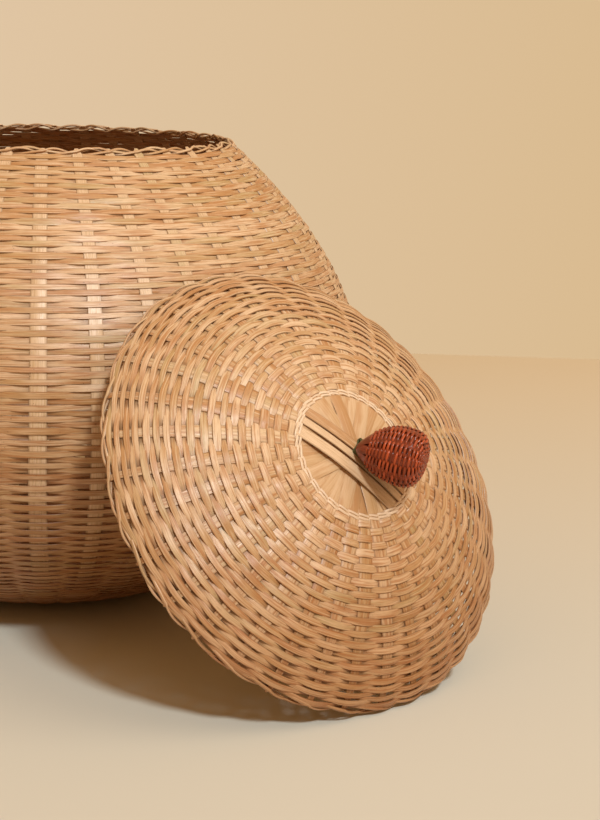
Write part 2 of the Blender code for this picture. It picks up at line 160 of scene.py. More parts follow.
class BodySizes(bpy.types.PropertyGroup):
    """Sizes of the round body, from the floor and from its upright axis."""
    belly_radius: length("Belly radius", 0.200, "Widest radius")
    belly_height: length("Belly height", 0.129, "Height of the widest place")
    mouth_radius: length("Mouth radius", 0.115, "Radius at the rim")
    mouth_height: length("Mouth height", 0.279, "Height of the rim")
    foot_radius: length("Foot radius", 0.070, "Radius of the flat bottom")
    start_radius: length("Start radius", 0.0375, "Where the courses start round the crossed middle")
    lower_swell: share("Lower swell", 0.6667, "How fast the wall swells from foot to belly")
    upper_draw: share("Upper draw", 2.03, "How late the wall draws in to the mouth")
    stakes: whole("Stakes", 38, "Splints round the wall")
    pitch: length("Pitch", 0.00235, "Width of one course at the bottom")
    neck_pitch: length("Neck pitch", 0.0036, "Width of one course at the mouth")
    turn: turned("Turn", -3, "Turn of the first stake from the X axis")


class LidSizes(bpy.types.PropertyGroup):
    """Sizes of the domed lid, from the plane of its rim and from its own axis."""
    rim_radius: length("Rim radius", 0.1277, "Radius of the rim")
    height: length("Height", 0.0435, "Height of the dome")
    dome: share("Dome", 0.785, "Fullness of the dome")
    start_radius: length("Start radius", 0.0378, "Where the courses start round the crossed middle")
    cross_radius: length("Cross radius", 0.0338, "Radius of the crossed middle")
    stakes: whole("Stakes", 34, "Splints round the lid")
    pitch: length("Pitch", 0.0040, "Width of one course at the middle")
    rim_pitch: length("Rim pitch", 0.0021, "Width of one course at the rim")
    lean: turned("Lean", 55.5, "Tilt of the lid's axis from upright")


class KnobSizes(bpy.types.PropertyGroup):
    """Sizes of the knob, along its own axis from the thread."""
    length: length("Length", 0.0385, "From the thread to the far end")
    radius: length("Radius", 0.0156, "Widest radius")
    widest: length("Widest", 0.0268, "Distance of the widest place from the thread")
    neck: share("Neck", 0.76, "How late the neck swells")
    end: share("End", 3.3, "How blunt the far end is")
    cover: length("Cover", 0.0085, "Where the courses start on the ribs")
    ribs: whole("Ribs", 10, "Ribs from end to end")
    columns: whole("Columns", 16, "Bumps round one course of the cover")
    pitch: length("Pitch", 0.00112, "Width of one course")
    lean: turned("Lean", 53, "Tilt of the knob off the lid's axis")
    turn: turned("Turn", -54, "Way that the knob leans, round the lid's axis")
    end_height: length("End height", 0.0368, "Where the cover ends and the woven end starts")


class SplintColours(bpy.types.PropertyGroup):
    """Colours of the palm splints, cane, raffia and thread."""
    pale: colour("Pale", 0.76, 0.53, 0.33, "The palest splints")
    straw: colour("Straw", 0.55, 0.325, 0.145, "Most splints")
    warm: colour("Warm", 0.46, 0.19, 0.060, "Orange stretches of a splint")
    olive: colour("Olive", 0.47, 0.34, 0.15, "Greenish stretches of a splint")
    # Shade also gives the painted shade in the weave's recesses and between splints
    shade: colour("Shade", 0.20, 0.085, 0.028, "Dark streaks and specks")
    raffia: colour("Raffia", 0.82, 0.63, 0.46, "The pale twining round the middle")
    cane: colour("Cane", 0.27, 0.040, 0.006, "The knob's cane")
    cane_dark: colour("Dark cane", 0.09, 0.011, 0.003, "The darkest of the knob's cane")
    thread: colour("Thread", 0.045, 0.047, 0.014, "Thread that ties the knob")


class StageSettings(bpy.types.PropertyGroup):
    """Pale floor, soft light and the camera's place."""
    floor: colour("Floor", 0.65, 0.63, 0.55, "Colour of the floor in front")
    floor_end: colour("Floor end", 0.68, 0.575, 0.405, "Colour of the floor at the back")
    backdrop: colour("Backdrop", 0.745, 0.558, 0.366, "Colour behind the floor, at the left")
    backdrop_end: colour("Backdrop end", 0.70, 0.50, 0.285, "Colour behind the floor, at the right")
    key: power("Key light", 575, "Power of the main soft light")
    distance: length("Key distance", 9.0, "How far off the main light stands")
    side: power("Side light", 34, "Power of the wide light from the upper right")
    fill: share("Fill light", 0.43, "Strength of the light from all round")


# Walls

class Wall:
    """A woven wall's middle surface, as a table along its outline from the middle to the rim. It
    lies inset from the outline, its out is on the given side, and its stakes stray by chance.
    """

    def __init__(self, outline, side, inset, stakes, stray, turn=0.0):
        points = np.array(outline)
        way = np.gradient(points, axis=0)
        way /= np.linalg.norm(way, axis=1, keepdims=True)
        self.out = side * np.column_stack((way[:, 1], -way[:, 0]))
        self.points = points - self.out * inset
        self.ends = way[0], way[-1]
        spans = np.linalg.norm(np.diff(self.points, axis=0), axis=1)
        self.along = np.concatenate(([0], np.cumsum(spans)))
        self.reach = self.along[-1]
        self.stakes = stakes
        self.stray = np.random.default_rng(stakes).uniform(-stray, stray, stakes)
        self.turn = turn
        self.sway = np.zeros(2)
        self.matrix = Matrix.Identity(4)

    def ray(self, along):
        """Radius and height of the middle surface, running on straight past both of its ends."""
        before = np.minimum(along, 0)
        after = np.maximum(along - self.reach, 0)
        return [np.interp(along, self.along, self.points[:, i])
                + before * self.ends[0][i] + after * self.ends[1][i] for i in range(2)]

    def place(self, along, angle, depth):
        """Points in the wall's own frame."""
        radius, height = self.ray(along)
        radius = radius + depth * np.interp(along, self.along, self.out[:, 0])
        height = height + depth * np.interp(along, self.along, self.out[:, 1])
        places = np.arange(self.stakes) * FULL_TURN / self.stakes
        angle = self.turn + angle + np.interp(angle, places, self.stray, period=FULL_TURN)
        points = np.column_stack((radius * np.cos(angle), radius * np.sin(angle), height))
        if self.sway.any():
            start = np.clip(1 - height / (NECK_SHARE * self.points[-1, 1]), 0, 1) ** 2
            points[:, :2] += start[:, None] * self.sway
        return points

    def along_at(self, radius):
        """How far along the outline a radius is first reached."""
        return float(np.interp(radius, self.points[:, 0], self.along))


def body_wall(sizes):
    swell = sizes.belly_radius - sizes.foot_radius
    draw = sizes.belly_radius - sizes.mouth_radius

    def radius(height):
        if height <= sizes.belly_height:
            rise = 1 - (1 - height / sizes.belly_height) ** 2
            return sizes.foot_radius + swell * rise ** sizes.lower_swell
        rise = (height - sizes.belly_height) / (sizes.mouth_height - sizes.belly_height)
        return sizes.belly_radius - draw * rise ** sizes.upper_draw

    outline = [(r, 0.0) for r in np.linspace(sizes.start_radius, sizes.foot_radius - 0.004, 12)]
    turns = np.linspace(0.06, math.pi / 2, 90)
    heights = list(sizes.belly_height * (1 - np.cos(turns)))
    heights += list(np.linspace(sizes.belly_height, sizes.mouth_height, 90))[1:]
    outline += [(radius(height), height) for height in heights]
    return Wall(outline, 1, inset=0.0007, stakes=sizes.stakes, stray=0.009, turn=sizes.turn)


def lid_wall(sizes):
    radii = sizes.rim_radius * np.sin(np.linspace(math.asin(0.23), math.pi / 2, 120))
    outline = [(r, dome_height(sizes, r)) for r in radii]
    wall = Wall(outline, -1, inset=0.0007, stakes=sizes.stakes, stray=0.008)
    wall.matrix = Matrix.Translation(LID_PLACE) @ Matrix.Rotation(sizes.lean, 4, "X")
    return wall


def dome_height(sizes, radius):
    return sizes.height * (1 - np.minimum(radius / sizes.rim_radius, 1) ** 2) ** sizes.dome


def knob_wall(sizes, lid):
    """The knob's own wall, hinged at the thread and leaning off the lid's axis."""
    def radius(along):
        if along <= sizes.widest:
            return sizes.radius * math.sin(math.pi / 2 * (along / sizes.widest) ** sizes.neck)
        rest = (along - sizes.widest) / (sizes.length - sizes.widest)
        return sizes.radius * math.sqrt(max(1 - rest ** sizes.end, 0))

    end = (sizes.length - sizes.widest) * np.sin(np.linspace(0, math.pi / 2, 80))[1:]
    places = np.concatenate((np.linspace(NECK_START, sizes.widest, 60), sizes.widest + end))
    outline = [(max(radius(along), 0.0004), along) for along in places]
    wall = Wall(outline, 1, inset=0.0006, stakes=sizes.ribs, stray=0.03)
    hinge = next(joint for joint in frame["joints"] if joint["name"] == "knob_tilt")
    level = Vector((-math.sin(sizes.turn), math.cos(sizes.turn), 0))
    turn = lid.matrix.to_3x3() @ Matrix.Rotation(sizes.lean, 3, level)
    wall.matrix = Matrix.Translation(hinge["pos_m"]) @ turn.to_4x4()
    aside = lid.matrix.to_3x3() @ Matrix.Rotation(STRAP_TURN, 3, "Z") @ Vector(NECK_ASIDE)
    wall.sway = np.array(turn.transposed() @ aside)[:2]
    return wall


# Chance: tables of row by stake, eased from stake to stake

def chances(seed, rows, columns, reach):
    return np.random.default_rng(seed).uniform(-reach, reach, (rows, columns))


def course_chances(seed, rows, stakes, shift, width, depth, tilt):
    """How far each course strays along the wall, in width, in depth and in tilt."""
    return [chances(seed + i, rows, stakes, reach)
            for i, reach in enumerate((shift, width, depth, tilt))]


def eased(table, row, angle):
    """A chance at an angle round a row, eased between the stakes on its two sides."""
    count = table.shape[1]
    place = angle / FULL_TURN * count
    left = np.floor(place).astype(int)
    step = place - left
    step = step * step * (3 - 2 * step)
    return table[row, left % count] * (1 - step) + table[row, (left + 1) % count] * step


def course_places(start, end, first_pitch, last_pitch, uneven, seed):
    """Places of the courses along an outline, at a pitch that changes evenly with some chance."""
    count = round(2 * (end - start) / (first_pitch + last_pitch))
    pitches = np.linspace(first_pitch, last_pitch, count)
    pitches *= 1 + np.random.default_rng(seed).uniform(-uneven, uneven, count)
    edges = np.concatenate(([0], np.cumsum(pitches)))
    edges = start + edges * (end - start) / edges[-1]
    return (edges[1:] + edges[:-1]) / 2, np.diff(edges)


def over_under(stakes, row, angle):
    """1 where a course passes over a stake and -1 where it passes behind one."""
    swing = np.cos(stakes / 2 * angle) * np.where(row % 2, -1, 1)
    return swing * (1.5 - 0.5 * swing ** 2)


def closing(over, behind, between, above):
    """How much wider than its pitch a course is behind a stake, between two, and over one."""
    return behind * np.maximum(-over, 0) + between * (1 - over ** 2) + above * np.maximum(over, 0)


# Meshes

def points_of(mesh):
    points = np.empty(len(mesh.vertices) * 3)
    mesh.vertices.foreach_get("co", points)
    return points.reshape(-1, 3)


def flatten(values, squareness):
    """Round section to a flat one with rounded edges, at a squareness below 1."""
    return np.sign(values) * np.abs(values) ** squareness


def settle(mesh, points, matrix, squareness):
    """Give a mesh its points and its place, and turn its faces outwards. Flat splints get crisp
    edges.
    """
    mesh.vertices.foreach_set("co", points.ravel())
    mesh.transform(matrix)
    bm = bmesh.new()
    bm.from_mesh(mesh)
    bmesh.ops.recalc_face_normals(bm, faces=bm.faces)
    bm.to_mesh(mesh)
    bm.free()
    mesh.shade_smooth()
    if squareness < 0.5:
        mesh.set_sharp_from_angle(angle=CRISP)
    mesh.update()


def write_map(mesh, along, across, chance):
    """Weave map: metres along a splint and widths across it, and three chances for each splint."""
    weave = mesh.uv_layers.new(name="weave")
    weave.data.foreach_set("uv", np.column_stack((along, across)).ravel())
    splint = mesh.attributes.new("splint", "FLOAT_VECTOR", "FACE")
    splint.data.foreach_set("vector", chance.ravel())


def corners_of(mesh):
    corners = np.empty(len(mesh.loops), int)
    mesh.loops.foreach_get("vertex_index", corners)
    return corners


def repeat(bm, count, step):
    """Copies of all that a bmesh holds, each a step on from the last."""
    first = bm.verts[:] + bm.edges[:] + bm.faces[:]
    for number in range(1, count):
        copy = bmesh.ops.duplicate(bm, geom=first)["geom"]
        verts = [item for item in copy if isinstance(item, bmesh.types.BMVert)]
        bmesh.ops.translate(bm, vec=step * number, verts=verts)


def blank_mesh(name, bm, count, step):
    """A mesh of copies of the plain ring or bar that a bmesh holds."""
    repeat(bm, count, step)
    mesh = bpy.data.meshes.new(name)
    bm.to_mesh(mesh)
    bm.free()
    return mesh


def blank_rings(name, rows, steps):
    """Plain closed rings round the Z axis, one for each row, a metre apart."""
    bm = bmesh.new()
    place = Matrix.Translation((1, 0, 0)) @ Matrix.Rotation(math.pi / 2, 4, "X")
    bmesh.ops.create_circle(bm, segments=SIDES, radius=BLANK_RADIUS, matrix=place)
    bmesh.ops.spin(bm, geom=bm.verts[:] + bm.edges[:], cent=(0, 0, 0), axis=(0, 0, 1),
                   angle=FULL_TURN, steps=steps, use_merge=True)
    return blank_mesh(name, bm, rows, Vector((0, 0, 1)))


def weave_rings(name, wall, rows, steps, lie, squareness, splint_length, seed, crown=0.0,
                recess=(0.3, 0.9)):
    """Closed courses or strands. lie tells where each ring lies: its place along the wall, its
    depth, width, thickness and tilt, for a row and an angle. Their faces rise by the crown. Painted
    shade darkens them in the recesses where they pass behind, from the first share of their
    greatest depth to the second.
    """
    mesh = blank_rings(name, rows, steps)
    points = points_of(mesh)
    row = np.rint(points[:, 2]).astype(int)
    angle = np.arctan2(points[:, 1], points[:, 0]) % FULL_TURN
    across = flatten((points[:, 2] - row) / BLANK_RADIUS, squareness)
    out = flatten((np.hypot(points[:, 0], points[:, 1]) - 1) / BLANK_RADIUS, squareness)
    along, depth, width, thickness, tilt = lie(row, angle)
    side = across * width / 2
    # Painted shade: darker where a course dips behind a stake, in the recesses beside it
    recess_shading = np.interp(depth / depth.min(), recess, (0, 1)) * (out > 0)
    mesh.attributes.new("dust", "FLOAT", "POINT").data.foreach_set("value", recess_shading)
    depth = depth + out * thickness / 2 + tilt * side + crown * (1 - across ** 2)
    settle(mesh, wall.place(along + side, angle, depth), wall.matrix, squareness)

    # The weave map starts afresh where each splint of a course starts
    corners = corners_of(mesh)
    corner_angle = angle[corners].reshape(-1, 4)
    torn = np.ptp(corner_angle, axis=1) > math.pi
    corner_angle[torn] += np.where(corner_angle[torn] < math.pi, FULL_TURN, 0)
    middle = corner_angle.mean(axis=1)
    face_row = row[corners].reshape(-1, 4)[:, 0]
    radius = wall.ray(np.array([along[row == i].mean() for i in range(rows)]))[0]
    ends = splint_ends(wall, rows, radius, splint_length, seed)
    start = np.empty(len(middle))
    splint = np.empty(len(middle), int)
    for i in range(rows):
        mine = face_row == i
        found = np.searchsorted(ends[i], middle[mine]) - 1
        start[mine] = np.where(found < 0, ends[i][-1] - FULL_TURN, ends[i][found])
        splint[mine] = i * COURSE_CHANCES + found % len(ends[i])
    run = (corner_angle - start[:, None]) * radius[face_row][:, None]
    run += SPLINT_PAGE * splint[:, None] % MAP_END
    widths = across[corners].reshape(-1, 4) / 2 + face_row[:, None] + 0.5
    chance = np.random.default_rng(seed + 1).uniform(0, 1, (rows * COURSE_CHANCES, 3))[splint]
    write_map(mesh, run.ravel(), widths.ravel(), chance)
    return mesh


def splint_ends(wall, rows, radius, splint_length, seed):
    """Angles at which each course goes on with a new splint, behind a stake."""
    rng = np.random.default_rng(seed)
    ends = []
    for row in range(rows):
        count = int(np.clip(round(FULL_TURN * radius[row] / splint_length), 1, MOST_SPLINTS))
        behind = np.arange((row + 1) % 2, wall.stakes, 2)
        chosen = rng.choice(behind, min(count, len(behind)), replace=False)
        ends.append(np.sort(chosen) * FULL_TURN / wall.stakes)
    return ends


def blank_bars(name, count, cuts):
    """Plain closed bars along the Z axis, a metre apart along X, cut into short lengths."""
    bm = bmesh.new()
    bmesh.ops.create_cone(bm, cap_ends=True, segments=SIDES, radius1=BLANK_RADIUS,
                          radius2=BLANK_RADIUS, depth=1)
    long_edges = [edge for edge in bm.edges if edge.calc_length() > 0.9]
    bmesh.ops.subdivide_edges(bm, edges=long_edges, cuts=cuts, use_grid_fill=False)
    return blank_mesh(name, bm, count, Vector((1, 0, 0)))


def lay_bars(name, count, cuts, place, page_length, matrix, seed, warm_halves=None):
    """Flat strips with two ends. place tells where each point goes, for a bar, a share of the way
    along it from 0 to 1, and its places across and out, from -1 to 1. warm_halves gives the bars
    that turn orange, with the side of their middle.
    """
    mesh = blank_bars(name, count, cuts)
    points = points_of(mesh)
    bar = np.rint(points[:, 0]).astype(int)
    run = points[:, 2] + 0.5
    across = flatten((points[:, 0] - bar) / BLANK_RADIUS, FLAT)
    out = flatten(points[:, 1] / BLANK_RADIUS, FLAT)
    settle(mesh, place(bar, run, across, out), matrix, FLAT)
    corners = corners_of(mesh)
    starts = np.empty(len(mesh.polygons), int)
    mesh.polygons.foreach_get("loop_start", starts)
    first = corners[starts]
    chance = np.random.default_rng(seed).uniform(0, 1, (count, 3))[bar[first]]
    if warm_halves:
        chance[:, 1] *= 0.5
        for warm, side in warm_halves.items():
            chance[(bar[first] == warm) & ((run[first] - 0.5) * side > 0), 1] = 1
    write_map(mesh, run[corners] * page_length + SPLINT_PAGE * bar[corners],
              across[corners] / 2 + bar[corners] + 0.5, chance)
    return mesh


def put(shape, body, slot, material, *nodes):
    """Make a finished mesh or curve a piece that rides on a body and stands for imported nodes."""
    piece = bpy.data.objects.new(shape.name, shape)
    bpy.context.scene.collection.objects.link(piece)
    shape.materials.append(material)
    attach(piece, body)
    if nodes:
        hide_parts(*nodes)


# Materials

# The grain's tints, and for each finish its own: a colour, or two and the share of the second
TINTS = ("Pale", "Straw", "Warm", "Olive", "Shade")
PLAIN = ("pale", "straw", "warm", "olive", "shade")
FINISHES = {
    "straw courses": (PLAIN, {}),
    "body courses": (PLAIN, {"browning_height": 0.24}),
    "pale stakes": (("pale", ("straw", "pale", 0.75), "straw", "olive", "shade"),
                    {"warmth": 0.35, "streaks": 0.55, "gloss": 0.7, "fineness": 2.2}),
    "middle splints": ((("straw", "pale", 0.7), ("straw", "pale", 0.5), ("straw", "warm", 0.6),
                        "straw", "straw"), {"warmth": 0.9, "streaks": 0.4, "fineness": 1.6}),
    "warm strap": (("pale", "straw", ("straw", "warm", 0.7), "straw", "shade"),
                   {"warmth": 1.0, "streaks": 0.8, "fineness": 2.0}),
    "tan splints": (("straw", ("straw", "warm", 0.5), "warm", "straw", "shade"),
                    {"warmth": 0.5, "fineness": 2.0}),
    "raffia strands": (("raffia", "raffia", "pale", "pale", "straw"),
                       {"warmth": 0.3, "streaks": 0.6}),
}


def feed(tree, socket, value):
    """Link a socket to another one, or set its value."""
    if isinstance(value, bpy.types.NodeSocket):
        tree.links.new(value, socket)
    else:
        socket.default_value = value


def node(tree, kind, inputs=None, **settings):
    made = tree.nodes.new(kind)
    for key, value in settings.items():
        setattr(made, key, value)
    for socket, value in (inputs or {}).items():
        feed(tree, made.inputs[socket], value)
    return made


def mix(tree, factor, first, second, blend_type="MIX"):
    made = node(tree, "ShaderNodeMix", data_type="RGBA", blend_type=blend_type, clamp_factor=True)
    for place, value in ((0, factor), (6, first), (7, second)):
        feed(tree, made.inputs[place], value)
    return made.outputs[2]


def maths(tree, operation, *values, clamp=False):
    inputs = dict(enumerate(values))
    return node(tree, "ShaderNodeMath", inputs, operation=operation, use_clamp=clamp).outputs[0]


def multiply(tree, *values):
    return maths(tree, "MULTIPLY", *values)


def attribute(tree, name):
    return node(tree, "ShaderNodeAttribute", attribute_name=name).outputs


def dot(tree, vector, way):
    return node(tree, "ShaderNodeVectorMath", {0: vector, 1: way},
                operation="DOT_PRODUCT").outputs["Value"]


def split(tree, vector):
    return node(tree, "ShaderNodeSeparateXYZ", {0: vector}).outputs


def spread(tree, value, low, high, to_low=0.0, to_high=1.0):
    return node(tree, "ShaderNodeMapRange", {"Value": value, "From Min": low, "From Max": high,
                                             "To Min": to_low, "To Max": to_high}).outputs[0]


def noise(tree, vector, scale, detail):
    """Noise with its own scale along each axis."""
    vector = node(tree, "ShaderNodeVectorMath", {0: vector, 1: scale}, operation="MULTIPLY")
    return node(tree, "ShaderNodeTexNoise", {"Vector": vector.outputs[0], "Scale": 1.0,
                                             "Detail": detail}).outputs["Fac"]


def palm_grain():
    """Grain of a split palm leaf stalk: fine streaks along it, slow changes of colour, specks and
    dark sides, partly the splints' own and partly painted shade where they meet. It grows darker
    and browner from a given height down to the floor, and painted shade darkens it in the
    recesses where courses pass behind stakes.
    """
    name = "Palm grain"
    if name in bpy.data.node_groups:
        return bpy.data.node_groups[name]
    tree = bpy.data.node_groups.new(name, "ShaderNodeTree")
    for kind, labels in (("Vector", ("Weave", "Chance", "Place")), ("Color", TINTS),
                         ("Float", ("Dust", "Worn", "Warmth", "Streaks", "Fineness"))):
        for label in labels:
            tree.interface.new_socket(name=label, in_out="INPUT", socket_type="NodeSocket" + kind)
    for label, kind in (("Color", "Color"), ("Roughness", "Float"), ("Height", "Float")):
        tree.interface.new_socket(name=label, in_out="OUTPUT", socket_type="NodeSocket" + kind)
    given = tree.nodes.new("NodeGroupInput").outputs
    leave = tree.nodes.new("NodeGroupOutput")

    weave = given["Weave"]
    toning, warming, greening = split(tree, given["Chance"])
    fine = node(tree, "ShaderNodeCombineXYZ", {"X": 1.0, "Y": given["Fineness"], "Z": 1.0})
    fine = node(tree, "ShaderNodeVectorMath", {0: weave, 1: fine.outputs[0]},
                operation="MULTIPLY").outputs[0]
    slow = noise(tree, weave, (16, 0.31, 0), 2.0)
    drift = noise(tree, weave, (34, 0.57, 5), 2.5)
    streak = noise(tree, fine, (42, 5, 0), 3.0)
    fibre = noise(tree, fine, (170, 22, 0), 2.0)
    speck = noise(tree, fine, (620, 3.2, 0), 1.0)

    tone = maths(tree, "ADD", spread(tree, slow, 0.32, 0.68, -0.45, 0.45), toning, clamp=True)
    warm = maths(tree, "ADD", spread(tree, drift, 0.50, 0.63),
                 spread(tree, warming, 0.60, 1.0, -0.25, 0.85), clamp=True)
    olive = multiply(tree, spread(tree, greening, 0.55, 1.0), spread(tree, drift, 0.62, 0.40))
    # Darker sides of each splint: partly their own darker edges, partly painted shade where splints
    # meet
    side = maths(tree, "SUBTRACT", maths(tree, "FRACT", split(tree, weave)[1]), 0.5)
    masks = (
        ("Olive", olive, 0.8),
        ("Warm", warm, given["Warmth"]),
        ("Warm", spread(tree, streak, 0.50, 0.61), given["Streaks"]),
        ("Pale", spread(tree, streak, 0.47, 0.36), given["Streaks"]),
        ("Shade", spread(tree, fibre, 0.52, 0.68), 0.38),
        ("Shade", spread(tree, speck, 0.70, 0.78), spread(tree, drift, 0.45, 0.60, 0, 0.8)),
        ("Shade", spread(tree, maths(tree, "ABSOLUTE", side), 0.38, 0.49), 0.55))
    tint = mix(tree, tone, given["Straw"], given["Pale"])
    for label, mask, part in masks:
        tint = mix(tree, multiply(tree, mask, part), tint, given[label])
    # Darker and browner from the browning height down to the floor
    brown = spread(tree, split(tree, given["Place"])[2], given["Worn"], 0)
    tint = mix(tree, brown, tint, (0.66, 0.50, 0.36, 1), "MULTIPLY")
    # Painted shade in the recesses where courses pass behind stakes
    tint = mix(tree, multiply(tree, given["Dust"], 0.80), tint, given["Shade"])

    feed(tree, leave.inputs["Color"], tint)
    feed(tree, leave.inputs["Roughness"], spread(tree, fibre, 0.3, 0.7, 0.32, 0.54))
    height = maths(tree, "ADD", multiply(tree, streak, 0.6), multiply(tree, fibre, 0.4))
    feed(tree, leave.inputs["Height"], height)
    return tree


def new_material(name):
    material = bpy.data.materials.new(name)
    material.use_nodes = True
    return material, material.node_tree, material.node_tree.nodes["Principled BSDF"]


def add_bump(tree, shader, height, distance):
    bump = node(tree, "ShaderNodeBump", {"Height": height, "Distance": distance, "Strength": 1.0})
    feed(tree, shader.inputs["Normal"], bump.outputs[0])


def palm_material(name, tints, warmth=0.6, streaks=0.7, relief=0.00012, gloss=0.5, fineness=1.0,
                  browning_height=0.145):
    """Split palm in its own five tints, with more or less warmth, streaks and relief."""
    material, tree, shader = new_material(name)
    inputs = {"Weave": node(tree, "ShaderNodeUVMap", uv_map="weave").outputs[0],
              "Chance": attribute(tree, "splint")["Vector"],
              # Painted shade from the recesses of the weave
              "Dust": attribute(tree, "dust")["Fac"],
              "Place": node(tree, "ShaderNodeTexCoord").outputs["Object"],
              "Worn": browning_height, "Warmth": warmth, "Streaks": streaks, "Fineness": fineness}
    inputs.update((label, (*tint, 1)) for label, tint in zip(TINTS, tints))
    grain = tree.nodes.new("ShaderNodeGroup")
    grain.node_tree = palm_grain()
    for label, value in inputs.items():
        feed(tree, grain.inputs[label], value)
    feed(tree, shader.inputs["Base Color"], grain.outputs["Color"])
    feed(tree, shader.inputs["Roughness"], grain.outputs["Roughness"])
    add_bump(tree, shader, grain.outputs["Height"], relief)
    shader.inputs["Specular IOR Level"].default_value = gloss
    return material


def blend(first, second, part):
    return [a + (b - a) * part for a, b in zip(first, second)]


def palm(context, name):
    """A finish of split palm, made once."""
    if name in bpy.data.materials:
        return bpy.data.materials[name]
    colours = context.scene.splint_colours
    names, looks = FINISHES[name]
    tints = [getattr(colours, tint) if isinstance(tint, str)
             else blend(getattr(colours, tint[0]), getattr(colours, tint[1]), tint[2])
             for tint in names]
    return palm_material(name, tints, **looks)


def cane(context, name="red cane", darker=0.0):
    """Dyed and varnished cane: dark red-brown, streaked, with a clear gloss."""
    if name in bpy.data.materials:
        return bpy.data.materials[name]
    colours = context.scene.splint_colours
    base = blend(colours.cane, colours.cane_dark, darker)
    bright = [min(1, part * 1.9 + 0.01) for part in base]
    material = palm_material(name, (bright, base, colours.cane_dark, base, colours.cane_dark),
                             streaks=0.3, relief=0.00002, gloss=0.1)
    shader = material.node_tree.nodes["Principled BSDF"]
    shader.inputs["Coat Weight"].default_value = 0.6
    shader.inputs["Coat Roughness"].default_value = 0.17
    return material


def thread(context):
    """Dull green thread with a light fluff."""
    material, tree, shader = new_material("green thread")
    place = node(tree, "ShaderNodeTexCoord").outputs["Object"]
    fluff = noise(tree, place, (2600, 2600, 2600), 3.0)
    tint = context.scene.splint_colours.thread
    light = [part * 2.6 for part in tint]
    tint = mix(tree, spread(tree, fluff, 0.4, 0.65), (*tint, 1), (*light, 1))
    feed(tree, shader.inputs["Base Color"], tint)
    add_bump(tree, shader, fluff, 0.0002)
    shader.inputs["Roughness"].default_value = 0.8
    return material


# Operators

# Heights on the body and, at each, how far its courses swing out over a stake, and how much wider
# they are there
SWINGS = (0, 0.08, 0.14, 0.20, 0.25), (0.00060, 0.00084, 0.00080, 0.00056, 0.00050)
SNUGNESS = (0.02, 0.07, 0.20, 0.245), (0.32, 0.05, 0.07, 0.28)

# The body's courses are loose this near to the mouth, and its pieces have this many
LOOSE_REACH = 0.018
PIECE_COURSES = 34


class BASKET_OT_body_courses(bpy.types.Operator):
    """Weave the body's courses of flat palm splints"""
    bl_idname = "basket.body_courses"
    bl_label = "Body courses"

    def execute(self, context):
        sizes = context.scene.body_sizes
        wall = body_wall(sizes)
        places, pitches = course_places(0.0006, wall.reach - 0.0012, sizes.pitch, sizes.neck_pitch,
                                        uneven=0.16, seed=5)
        rows = len(places)
        shifts, widths, depths, tilts = course_chances(11, rows, sizes.stakes, 0.00030, 0.09,
                                                       0.00010, 0.16)
        flat_end = wall.along_at(sizes.foot_radius)

        def lie(row, angle):
            over = over_under(sizes.stakes, row, angle)
            along = places[row]
            height = wall.ray(along)[1]
            loose = np.clip((along - wall.reach) / LOOSE_REACH + 1, 0, 1)
            lifted = np.clip(along / flat_end, 0, 1)
            along = along + eased(shifts, row, angle) * (1 + 3 * loose) - 0.0003 * over * lifted
            along = along + 0.0007 * np.sin(3 * angle + along * 22) * lifted
            closed = closing(over, behind=0.28, between=0.07, above=np.interp(height, *SNUGNESS))
            width = pitches[row] * (1 + closed - 0.10 * loose) * (1 + eased(widths, row, angle))
            depth = np.interp(height, *SWINGS) * over + eased(depths, row, angle) * lifted
            return along, depth, width, np.full_like(angle, 0.0005), eased(tilts, row, angle)

        for piece, first in enumerate(range(0, rows, PIECE_COURSES), 1):
            mesh = weave_rings(f"body_courses_{piece}", wall, min(PIECE_COURSES, rows - first),
                               COURSE_STEPS * sizes.stakes,
                               lambda row, angle: lie(row + first, angle), FLAT,
                               splint_length=0.42, seed=20 + piece, crown=0.00009,
                               recess=(0.75, 1.0))
            put(mesh, "basket", "straw", palm(context, "body courses"),
                *(["body_weave"] if piece == 1 else []))
        return {"FINISHED"}


class BASKET_OT_body_stakes(bpy.types.Operator):
    """Lay the body's stakes, which fan out from the middle of the bottom"""
    bl_idname = "basket.body_stakes"
    bl_label = "Body stakes"

    def execute(self, context):
        wall = body_wall(context.scene.body_sizes)
        mesh = lay_stakes("body_splints", wall, -0.006, wall.reach + STAKE_TIP, width=0.0098,
                          neck_width=0.0052, rim_width=0.0066, thickness=0.00066, cuts=90)
        put(mesh, "basket", "pale_straw", palm(context, "pale stakes"), "body_stakes")
        return {"FINISHED"}


def lay_stakes(name, wall, start, end, width, neck_width, rim_width, thickness, cuts):
    """Flat stakes that widen from the neck to their full width and narrow again to the rim."""
    count = wall.stakes
    lean = chances(31, count, 8, 0.0005)
    size = np.random.default_rng(32).uniform(0.90, 1.08, count)

    def place(bar, run, across, out):
        along = start + (end - start) * run
        radius = wall.ray(along)[0]
        hub = wall.ray(np.array([start]))[0][0]
        wide = np.minimum(neck_width * radius / hub, width + (rim_width - width) * run ** 3)
        tip = np.clip((end - along) / 0.002, 0.35, 1)
        side = across * wide / 2 * size[bar] * tip + eased(lean, bar, run * FULL_TURN * 0.8)
        return wall.place(along, bar * FULL_TURN / count + side / radius, out * thickness / 2)

    return lay_bars(name, count, cuts, place, end - start, wall.matrix, 33)


def border_lie(wall, rise, scallop, swing, thick, seed):
    """Strands twisted round the stake tips: each bows out past the rim in every other gap."""
    bows = chances(seed, 3, wall.stakes, 0.35)

    def lie(row, angle):
        sense = np.where(row % 2, -1, 1)
        turn = sense * np.sin(wall.stakes / 2 * angle)
        outer = np.maximum(turn, 0)
        bow = 1 + eased(bows, row, angle)
        along = wall.reach + rise * (0.4 + row // 2) + scallop * outer * bow
        along = along + rise * np.minimum(turn, 0)
        depth = sense * swing * np.cos(wall.stakes / 2 * angle) * np.where(row == 2, -0.6, 1)
        wide = np.full_like(angle, thick)
        return along, depth, wide, wide * 0.8, 0 * angle

    return lie


